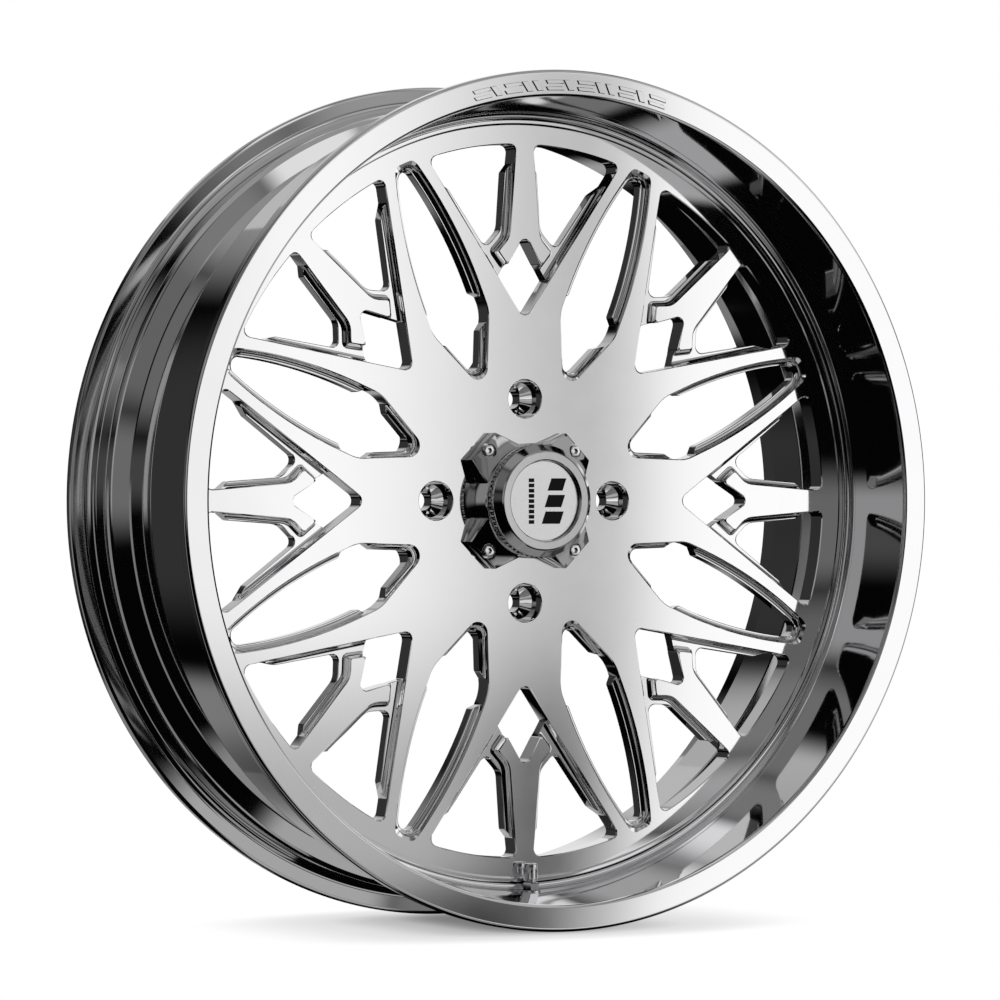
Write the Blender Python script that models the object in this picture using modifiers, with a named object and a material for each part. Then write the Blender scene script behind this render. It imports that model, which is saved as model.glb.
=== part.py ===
"""A forged two-piece racing wheel rim: a spun barrel, a milled centre with 32 windows, a
screwed centre cap and a clamp-in tyre valve.

Everything is modelled about the wheel's own axis, with local +Z out of the front face and
+Y up, and hangs on one empty that turns that axis to world -Y. The world origin is the
middle of the rim, and the hub mounting pad lies in the world plane y = 0.
"""

import math

import bmesh
import bpy

# Driving dimensions, in metres
RIM_RADIUS = 0.3245  # outside of both flanges
HALF_WIDTH = 0.1022
BEAD_RADIUS = 0.3072
FACE_Z = 0.0322  # front face of the centre, ahead of the hub pad
SPOKE_THICKNESS = 0.016
LEDGE_DEPTH = 0.0065  # step milled round the windows
CENTRE_RADIUS = 0.292
GAP = 0.0003  # between pieces that touch
BOLT_CIRCLE = 0.078
BOLT_COUNT = 4
PILOT_RADIUS = 0.0655
CAP_RADIUS = 0.044
CAP_SCREW_RADIUS = 0.0537
UNITS = 8  # the window pattern repeats every 45 degrees
RING_STEPS = 60
CENTRE_TURN = math.radians(1.3)  # keeps the turned edges off the windows' corners
SMALL_STEPS = 16
CAP_STEPS = 36
SCREW_STEPS = 12

# The valve stands on the inner lip wall, at the bottom, just ahead of the centre
VALVE_Z = 0.0412
VALVE_FOOT = -0.2984  # spot face on the barrel's inside
BARREL_SKIN = -0.3045  # barrel's tyre side at the valve

PARTS = bpy.data.collections.new("forged_wheel_rim")
CUTTERS = bpy.data.collections.new("cutters")


# Scene and material helpers

def clear_scene():
    for item in list(bpy.data.objects):
        bpy.data.objects.remove(item, do_unlink=True)
    bpy.context.scene.collection.children.link(PARTS)
    bpy.context.scene.collection.children.link(CUTTERS)


def material(name, colour, roughness, metallic):
    made = bpy.data.materials.new(name)
    made.use_nodes = True
    shader = made.node_tree.nodes["Principled BSDF"]
    shader.inputs["Base Color"].default_value = (*colour, 1.0)
    shader.inputs["Roughness"].default_value = roughness
    shader.inputs["Metallic"].default_value = metallic
    return made


def wheel_empty():
    """The wheel's frame: local +Z becomes world -Y."""
    empty = bpy.data.objects.new("wheel_frame", None)
    PARTS.objects.link(empty)
    empty.rotation_euler = (math.radians(90.0), 0.0, 0.0)
    return empty


def place(item, look, parent, location=(0.0, 0.0, 0.0), rotation=(0.0, 0.0, 0.0)):
    PARTS.objects.link(item)
    item.parent = parent
    item.location = location
    item.rotation_euler = rotation
    item.data.materials.append(look)
    return item


def make_cutter(item, parent, location=(0.0, 0.0, 0.0), rotation=(0.0, 0.0, 0.0)):
    CUTTERS.objects.link(item)
    item.parent = parent
    item.location = location
    item.rotation_euler = rotation
    item.hide_render = True
    item.display_type = "WIRE"
    return item


def boolean(item, tool, operation="DIFFERENCE"):
    modifier = item.modifiers.new(operation.lower() + "_" + tool.name, "BOOLEAN")
    modifier.operation = operation
    modifier.object = tool
    modifier.solver = "EXACT"


# Shape helpers

def arc(centre_x, centre_y, radius, start, end, count):
    """Points on an arc, with its angles in degrees."""
    points = []
    for step in range(count + 1):
        angle = math.radians(start + (end - start) * step / count)
        points.append((centre_x + radius * math.cos(angle), centre_y + radius * math.sin(angle)))
    return points


def turned(name, profile, steps=RING_STEPS):
    """A profile of (radius, height) points turned about local Z. It runs down its outer side."""
    on_axis = profile[0][0] == 0.0
    count = len(profile)
    edges = [(index, index + 1) for index in range(count - 1)]
    if not on_axis:
        edges.append((count - 1, 0))
    mesh = bpy.data.meshes.new(name)
    mesh.from_pydata([(radius, 0.0, height) for radius, height in profile], edges, [])
    item = bpy.data.objects.new(name, mesh)
    screw = item.modifiers.new("turn", "SCREW")
    screw.axis = "Z"
    screw.steps = steps
    screw.render_steps = steps
    screw.use_smooth_shade = True
    screw.use_merge_vertices = on_axis
    screw.merge_threshold = 0.00001
    return item


def ring(inner, outer, low, high):
    """The profile of a plain ring."""
    return [(outer, high), (outer, low), (inner, low), (inner, high)]


def rounded(corners):
    """The outline through (x, y, radius) corners, with each corner made an arc of that radius."""
    outline = []
    for index, (x, y, radius) in enumerate(corners):
        before_x, before_y, _ = corners[index - 1]
        after_x, after_y, _ = corners[(index + 1) % len(corners)]
        angle_in = math.atan2(y - before_y, x - before_x)
        angle_out = math.atan2(after_y - y, after_x - x)
        turn = math.remainder(angle_out - angle_in, math.tau)
        if abs(turn) < 1e-6 or radius == 0.0:
            outline.append((x, y))
            continue
        reach = radius * math.tan(abs(turn) / 2)
        side = math.copysign(1.0, turn)
        start_x = x - reach * math.cos(angle_in)
        start_y = y - reach * math.sin(angle_in)
        centre_x = start_x - side * radius * math.sin(angle_in)
        centre_y = start_y + side * radius * math.cos(angle_in)
        turn_per_point = SMALL_CORNER_TURN if radius < SMALL_CORNER else LARGE_CORNER_TURN
        count = max(1, math.ceil(abs(math.degrees(turn)) / turn_per_point))
        first = math.degrees(angle_in) - side * 90.0
        outline += arc(centre_x, centre_y, radius, first, first + math.degrees(turn), count)
    return outline


def mirrored(half):
    """A closed list of corners from its right half, whose first and last lie on the centre line."""
    return half + [(-x, y, radius) for x, y, radius in reversed(half[1:-1])]


def spun(outline, angle):
    """The outline turned about the wheel's axis by an angle in degrees."""
    cosine = math.cos(math.radians(angle))
    sine = math.sin(math.radians(angle))
    return [(x * cosine - y * sine, x * sine + y * cosine) for x, y in outline]


def plate(name, outlines, low, high):
    """Flat outlines of (x, y) points, each filled and extruded from one height to another."""
    curve = bpy.data.curves.new(name, "CURVE")
    curve.dimensions = "2D"
    curve.fill_mode = "BOTH"
    curve.extrude = (high - low) / 2
    for outline in outlines:
        spline = curve.splines.new("POLY")
        spline.points.add(len(outline) - 1)
        for point, (x, y) in zip(spline.points, outline):
            point.co = (x, y, 0.0, 1.0)
        spline.use_cyclic_u = True
    guide = bpy.data.objects.new(name + "_guide", curve)
    bpy.context.scene.collection.objects.link(guide)
    graph = bpy.context.evaluated_depsgraph_get()
    mesh = bpy.data.meshes.new_from_object(guide.evaluated_get(graph))
    mesh.name = name
    bpy.data.objects.remove(guide, do_unlink=True)
    shape = bmesh.new()
    shape.from_mesh(mesh)
    bmesh.ops.remove_doubles(shape, verts=shape.verts, dist=0.00001)
    bmesh.ops.recalc_face_normals(shape, faces=shape.faces)
    bmesh.ops.translate(shape, verts=shape.verts, vec=(0.0, 0.0, (high + low) / 2))
    shape.to_mesh(mesh)
    shape.free()
    return bpy.data.objects.new(name, mesh)


# Window outlines, in millimetres: x across the spoke's axis, y along the radius

MM = 0.001
SMALL_CORNER = 20.0  # corners below this radius take fewer points
SMALL_CORNER_TURN = 45.0
LARGE_CORNER_TURN = 9.0
ALMOND_HALF_WIDTH = 26.0
ALMOND_SIDE_RADIUS = 352.0
ALMOND_WIDEST_Y = 165.0
ALMOND_TIP_TURN = math.radians(16.49)
ALMOND_TIP_Y = 303.8  # where the two side tangents meet at the outer tip
ALMOND_FOOT_Y = 89.2  # where the two straight sides meet at the inner tip
ALMOND_FOOT_SLOPE = 15.0 / 33.0
ARM_FOOT_Y = 137.94  # where the inner edges of the two V-arms meet
ARM_SLOPE = 0.705
ARM_COSINE = math.cos(math.atan(ARM_SLOPE))
WINDOW_RADIUS = 272.5
LEDGE = 5.0
LEAST_LEDGE = 0.6  # where the through window all but meets the milled step


def arm_x(y, inset=0.0):
    """The inner edge of the right V-arm, moved into the window by an inset."""
    return ARM_SLOPE * (y - ARM_FOOT_Y) - inset / ARM_COSINE


def foot_x(y, inset=0.0):
    """The straight inner side of the almond, moved into the window by an inset."""
    slant = math.cos(math.atan(ALMOND_FOOT_SLOPE))
    return ALMOND_FOOT_SLOPE * (y - ALMOND_FOOT_Y) - inset / slant


def side_corner(inset):
    """The corner that, once rounded, gives the almond's long bowed side."""
    radius = ALMOND_SIDE_RADIUS - inset
    height = ALMOND_WIDEST_Y + radius * math.tan(ALMOND_TIP_TURN / 2)
    return (ALMOND_HALF_WIDTH - inset, height, radius)


def tip_corner(inset):
    return (0.0, ALMOND_TIP_Y - inset / math.sin(ALMOND_TIP_TURN), 12.0 - inset)


def almond_step():
    waist_y = ALMOND_FOOT_Y + ALMOND_HALF_WIDTH / ALMOND_FOOT_SLOPE
    return mirrored([
        (0.0, ALMOND_FOOT_Y, 9.7),
        (ALMOND_HALF_WIDTH, waist_y, 30.0),
        side_corner(0.0),
        tip_corner(0.0),
    ])


def almond_through():
    waist = ALMOND_HALF_WIDTH - LEAST_LEDGE
    waist_y = ALMOND_FOOT_Y + 27.0 / ALMOND_FOOT_SLOPE - 2.0
    slant = math.sin(math.atan(ALMOND_FOOT_SLOPE))
    return mirrored([
        (0.0, ALMOND_FOOT_Y + 4.0 / slant, 5.7),
        (foot_x(133.5, 4.0), 133.5, 0.0),
        (foot_x(138.5, LEAST_LEDGE), 138.5, 0.0),
        (waist, waist_y, 12.0),
        (waist, 157.5, 0.0),
        (ALMOND_HALF_WIDTH - LEDGE, 162.5, 0.0),
        side_corner(LEDGE),
        tip_corner(LEDGE),
    ])


def crown(start, end, radius=WINDOW_RADIUS):
    """The corner that, once rounded, follows the rim circle between two angles off the radius."""
    middle = math.radians((start + end) / 2)
    reach = radius / math.cos(math.radians((end - start) / 2))
    return (reach * math.sin(middle), reach * math.cos(middle), radius)


def strut_step():
    """Both triangles, the diamond and the channels between them, round the strut's raised face."""
    outer = [
        (0.0, ARM_FOOT_Y, 6.5),
        (85.4, 259.1, 6.0),
        crown(3.0, 15.6),
        (7.8, 272.4, 5.5),
        (13.6, 201.0, 16.0),
        (23.5, 190.5, 1.0),
        (14.8, 179.6, 1.5),
        (0.0, 204.4, 5.0),
    ]
    return mirrored(outer)


def triangle_through():
    least = LEAST_LEDGE
    return [
        (8.5, 271.8, 5.2),
        (8.9, 258.0, 0.0),
        (14.4, 251.0, 0.0),
        (17.5, 207.0, 12.0),
        (31.0, 192.5, 6.0),
        (arm_x(236.0, LEDGE), 236.0, 0.0),
        (arm_x(244.0, least), 244.0, 0.0),
        (84.4, 258.6, 5.2),
        crown(3.2, 15.4, WINDOW_RADIUS - least),
    ]


def diamond_through():
    least = LEAST_LEDGE
    return mirrored([
        (0.0, ARM_FOOT_Y + least / math.sin(math.atan(ARM_SLOPE)), 6.0),
        (20.6, 168.3, 3.0),
        (0.0, 204.4 - 2.0 * least, 4.6),
    ])


def flipped(corners):
    return [(-x, y, radius) for x, y, radius in reversed(corners)]


def pattern(shapes, first_angle):
    """Outlines in metres of the given corner lists, at every unit round the wheel."""
    outlines = []
    for unit in range(UNITS):
        for corners in shapes:
            metres = [(x * MM, y * MM) for x, y in rounded(corners)]
            outlines.append(spun(metres, first_angle + 360.0 / UNITS * unit))
    return outlines


# The barrel

def barrel_profile():
    rear = -HALF_WIDTH
    front = HALF_WIDTH
    edge = RIM_RADIUS
    outside = [(0.306, front)]
    outside += arc(edge - 0.0055, front - 0.0055, 0.0055, 90.0, 0.0, 3)
    outside += [(edge, front - 0.0095), (edge - 0.0025, front - 0.0115)]
    outside += arc(BEAD_RADIUS + 0.0065, front - 0.0195, 0.0065, 90.0, 180.0, 2)[1:]
    outside += [
        (0.3055, 0.0700),
        (0.3066, 0.0650),
        (0.3045, 0.0600),
        (0.3045, 0.0040),
        (0.2910, -0.0150),
        (0.2910, -0.0570),
        (0.3045, -0.0640),
        (0.3066, -0.0680),
        (0.3055, -0.0720),
    ]
    outside += arc(BEAD_RADIUS + 0.0065, rear + 0.0185, 0.0065, 180.0, 270.0, 2)
    outside += [(edge - 0.0025, rear + 0.0105), (edge, rear + 0.0085)]
    outside += arc(edge - 0.0050, rear + 0.0050, 0.0050, 0.0, -90.0, 3)
    inside = [
        (0.3090, rear),
        (0.3010, rear + 0.0060),
        (0.2990, -0.0640),
        (0.2850, -0.0560),
        (0.2850, -0.0160),
        (CENTRE_RADIUS + GAP, -0.0040),
        (CENTRE_RADIUS + GAP, 0.0310),
    ]
    inside += arc(0.2890, 0.0400, 0.0080, -58.0, 0.0, 2)
    inside += [(0.3040, 0.0982)]
    return outside + inside


def valve_seat_cutter(parent):
    """The valve's hole through the barrel, with a flat spot face on its inner side."""
    deep = -0.312
    profile = [
        (0.0, -0.2850),
        (0.0080, -0.2850),
        (0.0080, VALVE_FOOT),
        (0.00575, VALVE_FOOT),
        (0.00575, deep),
        (0.0, deep),
    ]
    return make_cutter(turned("valve_seat_cutter", profile, SMALL_STEPS), parent)


def make_barrel(looks, parent, valve_axis):
    barrel = place(turned("rim_barrel", barrel_profile()), looks["polished"], parent)
    boolean(barrel, valve_seat_cutter(valve_axis))


# The centre

def centre_profile():
    edge = CENTRE_RADIUS
    spoke_back = FACE_Z - SPOKE_THICKNESS
    return [
        (0.0380, FACE_Z),
        (0.2870, FACE_Z),
        (0.2883, FACE_Z + 0.0016),
        (0.2905, FACE_Z + 0.0016),
        (edge, FACE_Z - 0.0006),
        (edge, 0.0102),
        (0.2780, 0.0102),
        (0.2755, spoke_back),
        (0.1120, spoke_back),
        (0.0980, 0.0),
        (PILOT_RADIUS, 0.0),
        (PILOT_RADIUS, 0.0100),
        (0.0380, 0.0100),
    ]


def lug_cutter(parent, angle):
    """A stud hole with a conical nut seat below a wide counterbore."""
    profile = [
        (0.0, FACE_Z + 0.002),
        (0.0146, FACE_Z + 0.002),
        (0.0146, 0.0210),
        (0.0128, 0.0210),
        (0.0073, 0.0115),
        (0.0073, -0.0020),
        (0.0, -0.0020),
    ]
    turn = math.radians(angle)
    spot = (BOLT_CIRCLE * math.cos(turn), BOLT_CIRCLE * math.sin(turn), 0.0)
    return make_cutter(turned(f"lug_cutter_{angle:.0f}", profile, SMALL_STEPS), parent, spot)


def thread_cutter(parent, angle):
    """A blind tapped hole for a cap screw."""
    profile = [(0.0, FACE_Z + 0.002), (0.0033, FACE_Z + 0.002), (0.0033, 0.0182), (0.0, 0.0182)]
    return make_cutter(turned(f"thread_cutter_{angle:.0f}", profile, SCREW_STEPS), parent, cap_spot(angle))


def make_centre(looks, parent):
    blank = turned("wheel_centre", centre_profile())
    centre = place(blank, looks["polished"], parent, rotation=(0.0, 0.0, CENTRE_TURN))
    step_low = FACE_Z - LEDGE_DEPTH
    step_outlines = pattern([almond_step()], 22.5) + pattern([strut_step()], 0.0)
    through = pattern([almond_through()], 22.5)
    through += pattern([triangle_through(), flipped(triangle_through()), diamond_through()], 0.0)
    steps = make_cutter(plate("step_cutter", step_outlines, step_low, FACE_Z + 0.004), parent)
    windows = make_cutter(plate("window_cutter", through, -0.004, FACE_Z - 0.003), parent)
    boolean(centre, steps)
    boolean(centre, windows)
    for index in range(BOLT_COUNT):
        boolean(centre, lug_cutter(parent, 360.0 / BOLT_COUNT * index))
        boolean(centre, thread_cutter(parent, 45.0 + 90.0 * index))


def make_weld(looks, parent):
    """The fillet weld behind the centre, in the corner with the barrel."""
    low = 0.0025
    high = 0.0102 - GAP
    edge = CENTRE_RADIUS
    profile = [(edge, high), (edge, low)]
    profile += [(edge - 0.0045, low + 0.0014), (edge - 0.0080, high)]
    place(turned("centre_weld", profile), looks["weld"], parent)


# The centre cap

def cap_spot(angle):
    turn = math.radians(angle)
    return (CAP_SCREW_RADIUS * math.cos(turn), CAP_SCREW_RADIUS * math.sin(turn), 0.0)


def lobe(name, low):
    """A lug of the cap: wide at the body, narrower outside, and sloping down outwards."""
    shape = bmesh.new()
    bmesh.ops.create_cube(shape, size=2.0)
    for vert in shape.verts:
        outer = vert.co.x > 0.0
        top = vert.co.z > 0.0
        half_width = 0.0148 if outer else 0.0210
        top_height = FACE_Z + (0.0092 if outer else 0.0160)
        vert.co.x = 0.0588 if outer else 0.0395
        vert.co.y = math.copysign(half_width, vert.co.y)
        vert.co.z = top_height if top else low
    mesh = bpy.data.meshes.new(name)
    shape.to_mesh(mesh)
    shape.free()
    return bpy.data.objects.new(name, mesh)


def make_cap_body(looks, parent):
    low = FACE_Z + GAP
    shoulder = FACE_Z + 0.0187
    neck = 0.0380
    profile = [
        (neck, FACE_Z + 0.0237),
        (neck, shoulder),
        (CAP_RADIUS - 0.0010, shoulder),
        (CAP_RADIUS, shoulder - 0.0010),
        (CAP_RADIUS, low),
        (0.0350, low),
        (0.0350, FACE_Z + 0.0237),
    ]
    body = place(turned("cap_body", profile, CAP_STEPS), looks["cap_metal"], parent)
    for index in range(4):
        angle = 45.0 + 90.0 * index
        arm = lobe(f"cap_lobe_{index + 1}", low)
        make_cutter(arm, parent, rotation=(0.0, 0.0, math.radians(angle)))
        boolean(body, arm, "UNION")
    hollow = turned("cap_hollow", [(0.0, 0.080), (0.0350, 0.080), (0.0350, 0.020), (0.0, 0.020)], CAP_STEPS)
    boolean(body, make_cutter(hollow, parent))
    groove_top = low + 0.0030
    groove = ring(0.0395, 0.0425, low - 0.002, groove_top)
    boolean(body, make_cutter(turned("seal_groove", groove, CAP_STEPS), parent))
    for index in range(4):
        angle = 45.0 + 90.0 * index
        seat = FACE_Z + 0.0070
        top = FACE_Z + 0.020
        hole = [(0.0, top), (0.0057, top), (0.0057, seat), (0.0033, seat), (0.0033, 0.03), (0.0, 0.03)]
        drill = turned(f"screw_hole_{index + 1}", hole, SCREW_STEPS)
        boolean(body, make_cutter(drill, parent, cap_spot(angle)))


def make_cap_seal(looks, parent):
    """The O-ring between the cap and the centre."""
    profile = arc(0.0410, FACE_Z + 0.0018, 0.0012, 90.0, -270.0, 6)[:-1]
    place(turned("cap_o_ring", profile, CAP_STEPS), looks["rubber"], parent)


def make_retaining_ring(looks, parent):
    teeth = 48
    outline = []
    for index in range(2 * teeth):
        radius = CAP_RADIUS if index % 2 == 0 else CAP_RADIUS - 0.0006
        angle = math.pi * index / teeth
        outline.append((radius * math.cos(angle), radius * math.sin(angle)))
    inside = arc(0.0, 0.0, 0.0383, 0.0, 360.0, CAP_STEPS)[:-1]
    knurl = plate("cap_retaining_ring", [outline, inside], FACE_Z + 0.0190, FACE_Z + 0.0234)
    place(knurl, looks["cap_metal"], parent)


def make_bezel(looks, parent):
    low = FACE_Z + 0.0240
    profile = [
        (0.0308, FACE_Z + 0.0320),
        (0.0371, FACE_Z + 0.0320),
        (0.0379, FACE_Z + 0.0313),
        (0.0428, FACE_Z + 0.0258),
        (0.0430, FACE_Z + 0.0250),
        (0.0430, low),
        (0.0347, low),
        (0.0347, FACE_Z + 0.0195),
        (0.0270, FACE_Z + 0.0195),
        (0.0270, FACE_Z + 0.0265),
        (0.0308, FACE_Z + 0.0265),
    ]
    place(turned("cap_bezel", profile, CAP_STEPS), looks["cap_metal"], parent)


def make_badge(looks, parent):
    low = FACE_Z + 0.0265 + GAP
    high = low + 0.0020
    profile = [(0.0, high), (0.0300, high), (0.0305, high - 0.0005), (0.0305, low), (0.0, low)]
    place(turned("cap_badge", profile, CAP_STEPS), looks["badge"], parent)


def make_cap_screws(looks, parent):
    """Four socket screws. Each head sits in its counterbore and each shank reaches the centre."""
    seat = FACE_Z + 0.0070 + GAP
    top = seat + 0.0043
    profile = [
        (0.0, top),
        (0.0041, top),
        (0.0045, top - 0.0005),
        (0.0045, seat),
        (0.0030, seat),
        (0.0030, FACE_Z - 0.0115),
        (0.0024, FACE_Z - 0.0122),
        (0.0, FACE_Z - 0.0122),
    ]
    socket_outline = arc(0.0, 0.0, 0.0024, 0.0, 360.0, 6)[:-1]
    for index in range(4):
        spot = cap_spot(45.0 + 90.0 * index)
        screw = turned(f"cap_screw_{index + 1}", profile, SCREW_STEPS)
        place(screw, looks["screw"], parent, spot)
        socket = plate(f"hex_socket_{index + 1}", [socket_outline], top - 0.0022, top + 0.002)
        boolean(screw, make_cutter(socket, parent, spot))


# The valve, about an axis whose local Z runs from the tyre side towards the wheel's axis

def valve_frame(parent):
    empty = bpy.data.objects.new("valve_frame", None)
    PARTS.objects.link(empty)
    empty.parent = parent
    empty.location = (0.0, 0.0, VALVE_Z)
    empty.rotation_euler = (math.radians(-90.0), 0.0, 0.0)
    return empty


def make_valve_stem(looks, axis):
    bore = 0.0023
    head = BARREL_SKIN - 0.0050
    profile = [
        (0.0032, -0.2800),
        (0.0039, -0.2806),
        (0.0039, -0.3070),
        (0.0078, -0.3073),
        (0.0080, -0.3080),
        (0.0075, head),
        (bore, head),
        (bore, -0.2800),
    ]
    place(turned("valve_stem", profile, SMALL_STEPS), looks["valve_metal"], axis)


def make_valve_grommet(looks, axis):
    profile = [
        (0.00545, VALVE_FOOT - 0.0003),
        (0.00545, BARREL_SKIN - 0.0003),
        (0.0080, BARREL_SKIN - 0.0004),
        (0.0080, BARREL_SKIN - 0.0021),
        (0.0043, BARREL_SKIN - 0.0022),
        (0.0043, VALVE_FOOT - 0.0003),
    ]
    place(turned("valve_grommet", profile, SMALL_STEPS), looks["rubber"], axis)


def make_valve_clamp(looks, axis):
    washer = ring(0.0043, 0.0075, VALVE_FOOT + 0.0003, VALVE_FOOT + 0.0015)
    place(turned("valve_washer", washer, SMALL_STEPS), looks["valve_metal"], axis)
    low = VALVE_FOOT + 0.0018
    hexagon = arc(0.0, 0.0, 0.0069, 0.0, 360.0, 6)[:-1]
    hole = arc(0.0, 0.0, 0.0042, 0.0, 360.0, 24)[:-1]
    nut = plate("valve_nut", [hexagon, hole], low, low + 0.0055)
    place(nut, looks["valve_metal"], axis)


def make_valve_cap(looks, axis):
    foot = -0.2885
    top = -0.2765
    profile = [
        (0.0, top),
        (0.0044, top),
        (0.0050, top - 0.0008),
        (0.0050, foot),
        (0.0042, foot),
        (0.0042, -0.2783),
        (0.0, -0.2783),
    ]
    place(turned("valve_cap", profile, SMALL_STEPS), looks["valve_metal"], axis)
    seal = [(0.0, -0.2786), (0.0038, -0.2786), (0.0038, -0.2797), (0.0, -0.2797)]
    place(turned("valve_cap_seal", seal, 24), looks["rubber"], axis)


def make_valve_core(looks, axis):
    body = [
        (0.0020, -0.2830),
        (0.0020, -0.2970),
        (0.0008, -0.2970),
        (0.0008, -0.2930),
        (0.0017, -0.2930),
        (0.0017, -0.2830),
    ]
    place(turned("valve_core_body", body, 20), looks["brass"], axis)
    pin = [
        (0.0, -0.2822),
        (0.0005, -0.2822),
        (0.0005, -0.2844),
        (0.0014, -0.2844),
        (0.0014, -0.2850),
        (0.0005, -0.2850),
        (0.0005, -0.2990),
        (0.0015, -0.2990),
        (0.0015, -0.3000),
        (0.0, -0.3000),
    ]
    place(turned("valve_core_pin", pin, 16), looks["brass"], axis)
    seal = ring(0.0008, 0.0016, -0.2987, -0.2973)
    place(turned("valve_core_seal", seal, 16), looks["rubber"], axis)


def make_valve_spring(looks, axis):
    """The return spring: a coil of round wire between the core's floor and the pin's collar."""
    turns = 5
    points_per_turn = 8
    low = -0.29255
    high = -0.28525
    curve = bpy.data.curves.new("valve_core_spring", "CURVE")
    curve.dimensions = "3D"
    curve.bevel_depth = 0.00015
    curve.bevel_resolution = 0
    curve.use_fill_caps = True
    spline = curve.splines.new("POLY")
    count = turns * points_per_turn
    spline.points.add(count)
    for index, point in enumerate(spline.points):
        angle = math.tau * index / points_per_turn
        height = low + (high - low) * index / count
        point.co = (0.0011 * math.cos(angle), 0.0011 * math.sin(angle), height, 1.0)
    place(bpy.data.objects.new("valve_core_spring", curve), looks["spring"], axis)


def make_looks():
    return {
        "polished": material("polished_aluminium", (0.90, 0.90, 0.91), 0.06, 1.0),
        "weld": material("weld_bead", (0.62, 0.62, 0.63), 0.35, 1.0),
        "cap_metal": material("cap_chrome", (0.80, 0.80, 0.81), 0.08, 1.0),
        "badge": material("badge_enamel", (0.86, 0.86, 0.87), 0.30, 0.6),
        "screw": material("screw_steel", (0.66, 0.66, 0.67), 0.20, 1.0),
        "valve_metal": material("valve_nickel", (0.70, 0.70, 0.71), 0.15, 1.0),
        "brass": material("core_brass", (0.78, 0.62, 0.30), 0.25, 1.0),
        "spring": material("spring_steel", (0.60, 0.60, 0.62), 0.25, 1.0),
        "rubber": material("black_rubber", (0.03, 0.03, 0.03), 0.70, 0.0),
    }


def main():
    clear_scene()
    looks = make_looks()
    wheel = wheel_empty()
    valve = valve_frame(wheel)
    make_barrel(looks, wheel, valve)
    make_centre(looks, wheel)
    make_weld(looks, wheel)
    make_cap_body(looks, wheel)
    make_cap_seal(looks, wheel)
    make_retaining_ring(looks, wheel)
    make_bezel(looks, wheel)
    make_badge(looks, wheel)
    make_cap_screws(looks, wheel)
    make_valve_stem(looks, valve)
    make_valve_grommet(looks, valve)
    make_valve_clamp(looks, valve)
    make_valve_cap(looks, valve)
    make_valve_core(looks, valve)
    make_valve_spring(looks, valve)


main()
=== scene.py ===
"""Studio picture of a forged racing wheel rim: a spun barrel, a milled centre with 32 windows,
a screwed centre cap and a tyre valve.

Shapes are modelled in millimetres in the wheel's own frame, local +Z out of the face and +Y
up, and turned into the shared frame by to_world: local (x, y, z) becomes world (x, -z, y).
"""

import math

import bmesh
import bpy
import numpy as np
from mathutils.geometry import delaunay_2d_cdt
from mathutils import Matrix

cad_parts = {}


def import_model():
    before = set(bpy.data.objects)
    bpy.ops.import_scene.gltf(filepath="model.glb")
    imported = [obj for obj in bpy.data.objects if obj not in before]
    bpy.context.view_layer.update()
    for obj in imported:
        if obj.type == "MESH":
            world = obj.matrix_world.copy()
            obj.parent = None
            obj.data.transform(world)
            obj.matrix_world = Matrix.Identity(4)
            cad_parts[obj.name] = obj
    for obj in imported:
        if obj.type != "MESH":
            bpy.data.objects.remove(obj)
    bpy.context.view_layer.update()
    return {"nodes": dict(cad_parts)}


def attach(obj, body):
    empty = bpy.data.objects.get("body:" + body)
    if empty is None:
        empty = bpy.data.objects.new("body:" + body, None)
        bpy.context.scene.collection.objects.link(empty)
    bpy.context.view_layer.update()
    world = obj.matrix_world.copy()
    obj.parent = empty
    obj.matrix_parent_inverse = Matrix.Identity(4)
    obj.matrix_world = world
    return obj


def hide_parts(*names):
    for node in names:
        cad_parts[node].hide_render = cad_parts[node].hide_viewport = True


MM = 0.001
MERGE_DISTANCE = 2e-6  # metres
ON_AXIS = 1e-9

# Wheel centre, in millimetres
FACE = 32.2
SPOKE_BACK = 16.2
SPOKE_START = 112.0  # the radius where the spokes' backs become level
SPOKE_END = 275.5
EDGE_START = 278.0
EDGE_BACK = 10.2
LEDGE_DROP = 6.5
COVE = 4.0
COVE_RINGS = (0.0, 0.3, 1.2, 2.5, COVE)  # insets at which the cove's curve is sampled
TOP_CHAMFER = 0.7
HOLE_CHAMFER = 0.5
BACK_CHAMFER = 0.6
OVERSHOOT = 0.5  # a full-depth window edge lies this far outside the milled pocket
HUB_EDGE = 100.0
DISC_EDGE = 287.0
PAD_EDGE = 98.0
PILOT = 65.5
PILOT_FLOOR = 10.0
BORE = 38.0
HUB_START = 20.0  # the hub's triangles start inside the bore
LUG_CIRCLE = 78.0
LUG_POCKET = 14.6
LUG_CHAMFER = 0.6
LUG_EDGE = 15.2
LUG_SEAT = 12.8
LUG_SEAT_TOP = 21.0
STUD_EDGE = 7.8
STUD_HOLE = 7.3
STUD_HOLE_TOP = 11.5
CAP_SCREW_CIRCLE = 53.7
BLIND_HOLE = 3.3
BLIND_EDGE = 3.7
BLIND_CHAMFER = 0.4
BLIND_FLOOR = 18.2
WINDOW_WEDGE = 22.5  # degrees, half of one repeat of the windows
HUB_WEDGE = 45.0  # degrees, half of one repeat of the hub
RING_COUNT = 320  # points on the wheel's large circles
SHARP_ANGLE = 28.0
FLAT = 0.99995  # a face this close to facing the wheel's axis is shaded flat
LONG_RUN = 2.4  # straight runs of a profile longer than this are braced
BRACE = 0.25  # from the ends of a run to its extra points
SNAP = 0.12  # how far an arc's chords may stray from a true offset
CUT_TOLERANCE = 1e-4
SLIVER = 1e-7  # triangles with less than half this area are dropped
WEDGE_MARGIN = 3.0  # degrees
ON_WALL = 0.05  # closer to a pocket's outline than this is on its wall
HAIR = 0.01

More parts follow.
